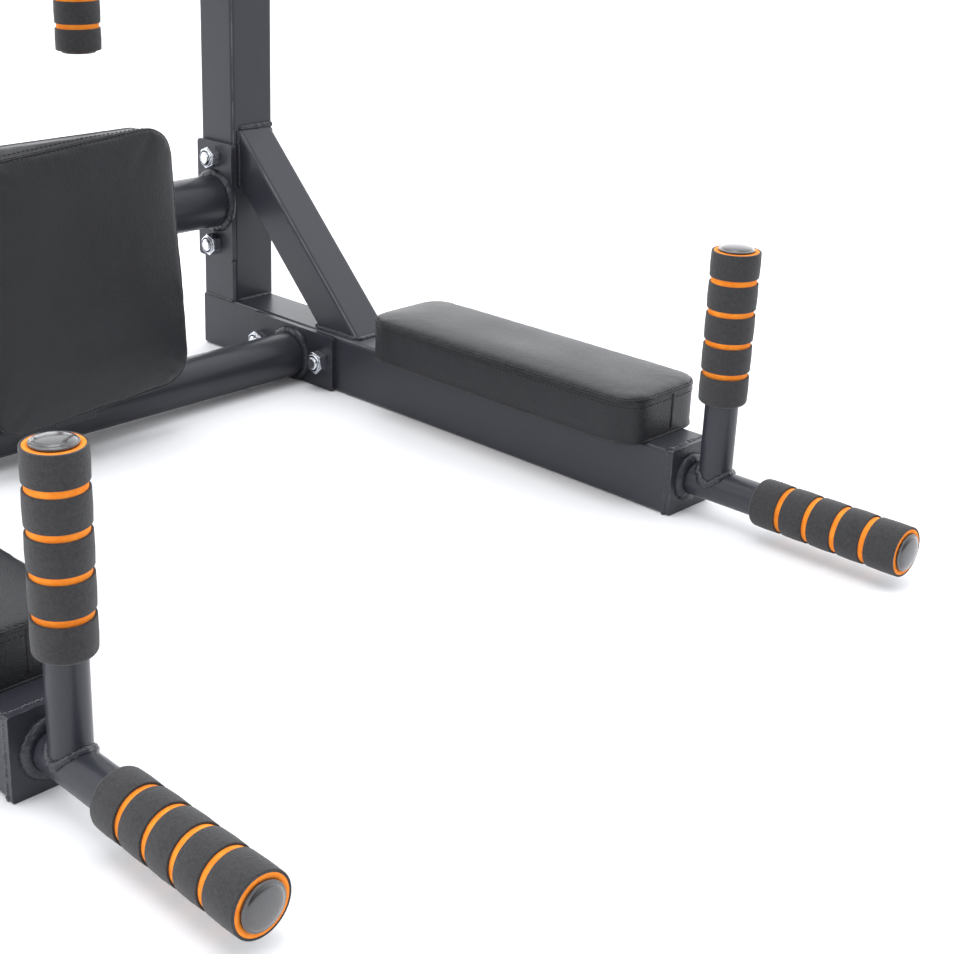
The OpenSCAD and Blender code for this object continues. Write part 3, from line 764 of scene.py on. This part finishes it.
# ---------- Boards ----------
# Birch plywood boards carry the cushions; the leatherette is stapled to their backs.
wood_finish, wood_tree, wood_shader = new_finish("plywood", 0.65)
wood_wave = wood_tree.nodes.new("ShaderNodeTexWave")
wood_place = wood_tree.nodes.new("ShaderNodeTexCoord")
wood_wave.inputs["Scale"].default_value = 18
wood_wave.inputs["Distortion"].default_value = 9
wood_wave.inputs["Detail"].default_value = 3
wood_tree.links.new(wood_place.outputs["Object"], wood_wave.inputs["Vector"])
wood_colour = blend_colours(wood_tree, wood_wave.outputs["Fac"], (0.43, 0.29, 0.16), (0.52, 0.37, 0.22))
wood_tree.links.new(wood_colour, wood_shader.inputs["Base Color"])
add_grain(wood_tree, wood_shader, 700, 80, 1, 0.0003)
for node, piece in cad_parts.items():
    if piece.data.materials[0].name.startswith("plywood"):
        piece.data.materials[0] = wood_finish


# ---------- Cushions ----------
# Foam on a plywood board under black leatherette: a top panel sewn to a boxing strip, which is
# pulled round the board and stapled behind it. The filling pushes the panel up in the middle.
leather_finish, leather_tree, leather_shader = new_finish("leatherette", 0.42, specular=0.38)
leather_cloud = place_group(leather_tree, cloud_group, Size=14)
leather_dark = (0.0085, 0.009, 0.0115)
leather_light = (0.0145, 0.0152, 0.0182)
leather_base = blend_colours(leather_tree, leather_cloud, leather_dark, leather_light)
leather_wear = place_group(leather_tree, wear_highlight_group, Breakup=160, Amount=0.35)
leather_tree.links.new(blend_colours(leather_tree, leather_wear, leather_base, (0.07, 0.072, 0.078)),
                       leather_shader.inputs["Base Color"])
leather_rough = leather_tree.nodes.new("ShaderNodeMapRange")
leather_rough.inputs["To Min"].default_value = 0.36
leather_rough.inputs["To Max"].default_value = 0.47
leather_tree.links.new(leather_cloud, leather_rough.inputs["Value"])
leather_tree.links.new(leather_rough.outputs["Result"], leather_shader.inputs["Roughness"])
leather_cells = leather_tree.nodes.new("ShaderNodeTexVoronoi")
leather_cells.inputs["Scale"].default_value = 850
leather_place = leather_tree.nodes.new("ShaderNodeTexCoord")
leather_tree.links.new(leather_place.outputs["Object"], leather_cells.inputs["Vector"])
leather_skin = place_group(leather_tree, grain_group, Fine=1200, Coarse=140, Coarse_share=1.4)
leather_height = math_node(leather_tree, "ADD", leather_cells.outputs["Distance"], leather_skin)
add_bump(leather_tree, leather_shader, leather_height, 0.00022, 0.8)

thread_finish, thread_tree, thread_shader = new_finish("black_thread", 0.55)
mottle(thread_tree, thread_shader, 300, (0.006, 0.006, 0.007), (0.016, 0.016, 0.018))
add_grain(thread_tree, thread_shader, 2500, 900, 1, 0.0002)

cover_t = 0.001
board_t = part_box("arm_board_left")[1].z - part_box("arm_board_left")[0].z
seam_drop = 0.0045
proud = 0.0001
stitch_pitch = 0.0042
hem_w = 0.013
hem_gap = 0.0002
staple_in = 0.0075


def rim_gap(x, y, half_x, half_y, corner):
    """How far a point lies inside a rounded rectangle."""
    over_x = abs(x) - half_x + corner
    over_y = abs(y) - half_y + corner
    return corner - math.hypot(max(over_x, 0), max(over_y, 0)) - min(max(over_x, over_y), 0)


def rim_route(half_x, half_y, corner, height, steps=10):
    """A rounded rectangle as points at one height."""
    route = []
    for i, (side_x, side_y) in enumerate(((1, 1), (-1, 1), (-1, -1), (1, -1))):
        for j in range(steps + 1):
            turn = math.radians(90 * i + 90 * j / steps)
            route.append(Vector((side_x * (half_x - corner) + corner * math.cos(turn),
                                 side_y * (half_y - corner) + corner * math.sin(turn), height)))
    return route


def walk(route, pitch):
    """Evenly spaced places along a closed route, each with its direction."""
    places = []
    far = 0
    for start, end in zip(route, route[1:] + route[:1]):
        run = end - start
        while far < run.length:
            places.append((start + run.normalized() * far, run.normalized()))
            far += pitch
        far -= run.length
    return places


def freeze(piece):
    """Gives a piece the mesh that its modifiers make, and takes them off."""
    shape = bpy.data.meshes.new_from_object(piece.evaluated_get(bpy.context.evaluated_depsgraph_get()))
    piece.modifiers.clear()
    piece.data = shape


def swell(piece, thick, seam_z, cap):
    """Blows the cover up a little with Cloth, held along its seam and round the board."""
    before = [vert.co.copy() for vert in piece.data.vertices]
    held = piece.vertex_groups.new(name="held")
    for vert in piece.data.vertices:
        on_side = abs(vert.normal.z) < 0.6
        if vert.co.z < 0.45 * thick or (on_side and abs(vert.co.z - seam_z) < 0.0035):
            held.add([vert.index], 1.0, "REPLACE")
    cloth = piece.modifiers.new("swell", "CLOTH")
    cloth.settings.quality = 5
    cloth.settings.mass = 0.3
    cloth.settings.tension_stiffness = 25
    cloth.settings.compression_stiffness = 25
    cloth.settings.shear_stiffness = 10
    cloth.settings.bending_stiffness = 2
    cloth.settings.use_pressure = True
    cloth.settings.uniform_pressure_force = 4
    cloth.settings.vertex_group_mass = "held"
    cloth.settings.effector_weights.gravity = 0
    cloth.point_cache.frame_start = 1
    cloth.point_cache.frame_end = 20
    for step in range(1, 21):
        bpy.context.scene.frame_set(step)
    freeze(piece)
    bpy.context.scene.frame_set(1)
    piece.vertex_groups.clear()
    for vert, start in zip(piece.data.vertices, before):
        move = vert.co - start
        if move.length > cap:
            vert.co = start + move * (cap / move.length)


def make_cushion(name, node, width, length, thick, corner, place, rise, seam_end, askew=0.0):
    """One cushion in its own frame: back of the board at Z = 0, top panel up.

    askew is how far the cover was pulled round: its panel then sits slanting and a little drawn in."""
    half_x = width / 2 + cover_t
    half_y = length / 2 + cover_t
    flat = thick - rise
    seam_z = flat - seam_drop
    bm = bmesh.new()
    middle = Matrix.Translation((0, 0, (flat + 2 * cover_t) / 2))
    block = Matrix.Diagonal((2 * half_x, 2 * half_y, flat - 2 * cover_t, 1))
    bmesh.ops.create_cube(bm, size=1, matrix=middle @ block)
    posts = [edge for edge in bm.edges if abs(edge.verts[0].co.z - edge.verts[1].co.z) > flat / 2]
    ease(bm, posts, corner, 10)
    bmesh.ops.bisect_plane(bm, geom=bm.verts[:] + bm.edges[:] + bm.faces[:], dist=1e-5,
                           plane_co=(0, 0, board_t), plane_no=(0, 0, 1), use_snap_center=False,
                           clear_outer=False, clear_inner=False)
    rim = [edge for edge in bm.edges if all(vert.co.z > flat - 1e-4 for vert in edge.verts)]
    ease(bm, rim, seam_drop, 5)
    drawn = 0.26 * askew

    def pulled(x, y, z):
        share = max(z - board_t, 0) / (flat - board_t)
        return Vector((-drawn * y, askew * x - drawn * y - drawn * 0.07, 0)) * share

    for vert in bm.verts:
        vert.co += pulled(*vert.co)
    cover = finish_piece(name + "_cover", bm, leather_finish, stands_for=[node])
    even = cover.modifiers.new("even", "REMESH")
    even.mode = "VOXEL"
    even.voxel_size = 0.004
    even.use_smooth_shade = True
    freeze(cover)
    swell(cover, flat, seam_z, rise + 0.002)
    fine = cover.modifiers.new("fine", "SUBSURF")
    fine.levels = fine.render_levels = 1
    freeze(cover)
    lowest = min(vert.co.z for vert in cover.data.vertices)
    outward = [vert.normal.copy() for vert in cover.data.vertices]
    for vert, out in zip(cover.data.vertices, outward):
        vert.co.z -= (lowest + cover_t / 2) * max(1 - (vert.co.z - lowest) / board_t, 0)
        x, y, z = vert.co
        aside = pulled(x, y, z)
        gap = max(rim_gap(x - aside.x, y - aside.y, half_x, half_y, corner), 0)
        if z < 0.4 * board_t and gap < 0.004:
            vert.co += Vector((out.x, out.y, 0)) * (gap / max(math.hypot(out.x, out.y), 0.5))
        away = gap + abs(z - seam_z)
        if z > seam_z:
            pucker = 0.0006 * math.exp(-away / 0.007) * noise.noise(Vector((x * 130, y * 130, 3)))
            hollow = 0.0008 * noise.noise(Vector((x * 15, y * 15, 8))) * min(gap / 0.02, 1)
            vert.co += out * (pucker + hollow)
        else:
            turn = min(max(over - 0.5, 0) * 2 for over in (abs(x) / half_x, abs(y) / half_y))
            fold = noise.noise(Vector((x * 70, y * 70, z * 12)))
            vert.co += out * (0.0002 + 0.0007 * turn) * fold * min(max(z, 0) / (0.5 * flat), 1)
    shell = bmesh.new()
    shell.from_mesh(cover.data)

    def behind(vert):
        return vert.co.z < 0.001 and rim_gap(vert.co.x, vert.co.y, half_x, half_y, corner) > 0.008

    under = [face for face in shell.faces if all(behind(vert) for vert in face.verts)]
    bmesh.ops.delete(shell, geom=under, context="FACES")
    shell.to_mesh(cover.data)
    shell.free()
    for polygon in cover.data.polygons:
        polygon.use_smooth = True
    surface = BVHTree.FromPolygons([vert.co for vert in cover.data.vertices],
                                   [polygon.vertices for polygon in cover.data.polygons])

    def on_cover(spot):
        found, normal = surface.find_nearest(spot + pulled(*spot))[:2]
        return found + normal * proud

    bm = bmesh.new()
    for drop in (-0.0008, 0.0008):
        ring = walk(rim_route(half_x, half_y, corner, seam_z + drop), 0.004)
        lay_bead(bm, [on_cover(spot) for spot, way in ring], 0.00085, closed=True, rough=0.05, pitch=2.4)
    joint_step = 0.002
    joint = [on_cover(Vector((seam_end, -half_y, seam_z - step * joint_step)))
             for step in range(int(seam_z / joint_step) - 1)]
    for aside in (-0.00045, 0.00045):
        lay_bead(bm, [spot + Vector((aside, 0, 0)) for spot in joint], 0.0006, rough=0.05, pitch=3)
    bmesh.ops.transform(bm, matrix=place, verts=bm.verts)
    finish_piece(name + "_seam", bm, leather_finish)

    bm = bmesh.new()
    stitch = Matrix.Diagonal((0.0005, 0.0005, 0.0017, 1))
    for height, inset in ((seam_z + 0.0022, 0.0004), (seam_z - 0.0055, 0)):
        for spot, way in walk(rim_route(half_x - inset, half_y - inset, corner, height), stitch_pitch):
            turn = way.to_track_quat("Z", "Y").to_matrix().to_4x4()
            bmesh.ops.create_icosphere(bm, subdivisions=1, radius=1,
                                       matrix=Matrix.Translation(on_cover(spot)) @ turn @ stitch)
    bmesh.ops.transform(bm, matrix=place, verts=bm.verts)
    finish_piece(name + "_stitches", bm, thread_finish)

    bm = bmesh.new()
    rims = []
    for inset, bend in ((hem_gap, corner), (hem_w, corner - 0.011)):
        loop = [bm.verts.new(spot) for spot in rim_route(half_x - inset, half_y - inset, bend, hem_gap)]
        rims += [bm.edges.new((loop[i - 1], loop[i])) for i in range(len(loop))]
    bmesh.ops.bridge_loops(bm, edges=rims)
    folded = bmesh.ops.extrude_face_region(bm, geom=bm.faces[:], use_keep_orig=True)["geom"]
    bmesh.ops.translate(bm, vec=(0, 0, -cover_t),
                        verts=[part for part in folded if isinstance(part, bmesh.types.BMVert)])
    bmesh.ops.recalc_face_normals(bm, faces=bm.faces)
    fold_route = rim_route(half_x - 0.0006, half_y - 0.0006, corner, 0.0005)
    lay_bead(bm, fold_route, 0.0014, closed=True, rough=0.05, pitch=2.0)
    bmesh.ops.transform(bm, matrix=place, verts=bm.verts)
    finish_piece(name + "_hem", bm, leather_finish, smooth=False)

    bm = bmesh.new()
    wire = Matrix.Diagonal((0.0095, 0.0011, 0.0006, 1))
    row = rim_route(half_x - staple_in, half_y - staple_in, corner - 0.006, -cover_t - 0.0003)
    for spot, way in walk(row, 0.024):
        tilt = Matrix.Rotation(math.atan2(way.y, way.x) + random.uniform(-0.25, 0.25), 4, "Z")
        bmesh.ops.create_cube(bm, size=1, matrix=Matrix.Translation(spot) @ tilt @ wire)
    ease(bm, bm.edges[:], 0.0002, 1)
    bmesh.ops.transform(bm, matrix=place, verts=bm.verts)
    finish_piece(name + "_staples", bm, zinc_finish, smooth=False)
    cover.data.transform(place)


for side in ("left", "right"):
    low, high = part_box("arm_board_" + side)
    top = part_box("arm_cushion_" + side)[1].z
    middle = (low + high) / 2
    pad_place = Matrix.Translation((middle.x, middle.y, low.z))
    make_cushion("arm_pad_" + side, "arm_cushion_" + side, high.x - low.x, high.y - low.y, top - low.z,
                 0.022, pad_place, 0.0015, 0.006)

lean = math.radians(3.8)
back_t = 0.032
low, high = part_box("back_board")
back_h = (high.z - low.z - board_t * math.sin(lean)) / math.cos(lean)
back_place = Matrix.Translation((low + high) / 2) @ Matrix.Rotation(math.pi / 2 - lean, 4, "X")
make_cushion("back_pad", "back_cushion", high.x - low.x, back_h, back_t, 0.025,
             back_place @ Matrix.Translation((0, 0, -board_t / 2)), 0.002, 0.03, askew=0.085)
